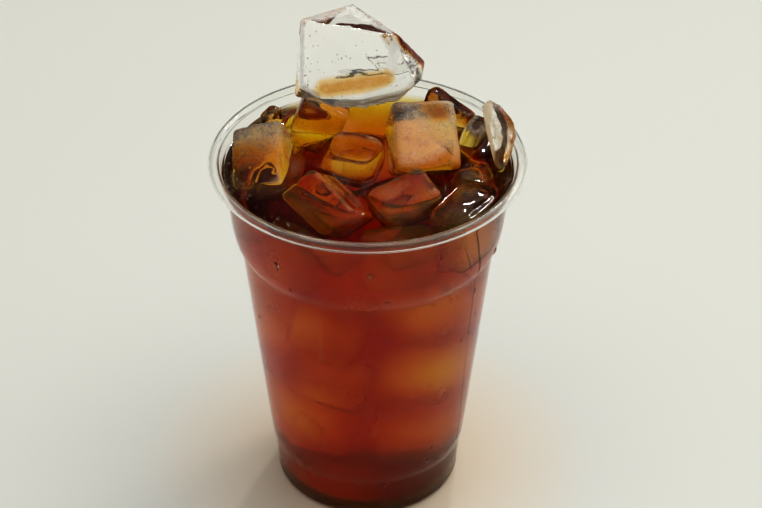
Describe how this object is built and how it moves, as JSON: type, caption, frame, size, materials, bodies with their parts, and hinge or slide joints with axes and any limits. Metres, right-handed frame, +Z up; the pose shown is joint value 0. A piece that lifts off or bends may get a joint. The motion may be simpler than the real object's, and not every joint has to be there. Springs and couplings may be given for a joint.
{
  "type": "iced americano",
  "caption": "Iced black coffee in a clear plastic cup with a rolled lip, ice cubes standing out of the top.",
  "frame": {"origin": "centre of the cup's foot, on the plane that it stands on", "axes": "+Z up along the cup's axis, -Y towards the viewer of the picture, +X to the viewer's right"},
  "size_m": [0.098, 0.098, 0.1575],
  "materials": {
    "cup_plastic": "clear thin thermoformed plastic, glossy",
    "coffee": "clear dark brown liquid with a wet, glossy surface",
    "ice": "clear ice with frosted patches, wet and glossy"
  },
  "bodies": {
    "root": {"cup": "cup_plastic", "coffee": "coffee", "ice_top": "ice", "ice_left": "ice", "ice_back_left": "ice", "ice_under_top": "ice", "ice_middle": "ice", "ice_frosted": "ice", "ice_back_right": "ice", "ice_between": "ice", "ice_front_middle": "ice", "ice_front_right": "ice", "ice_right_low": "ice", "ice_front_ridge": "ice", "ice_right_shell": "ice"}
  },
  "joints": []
}
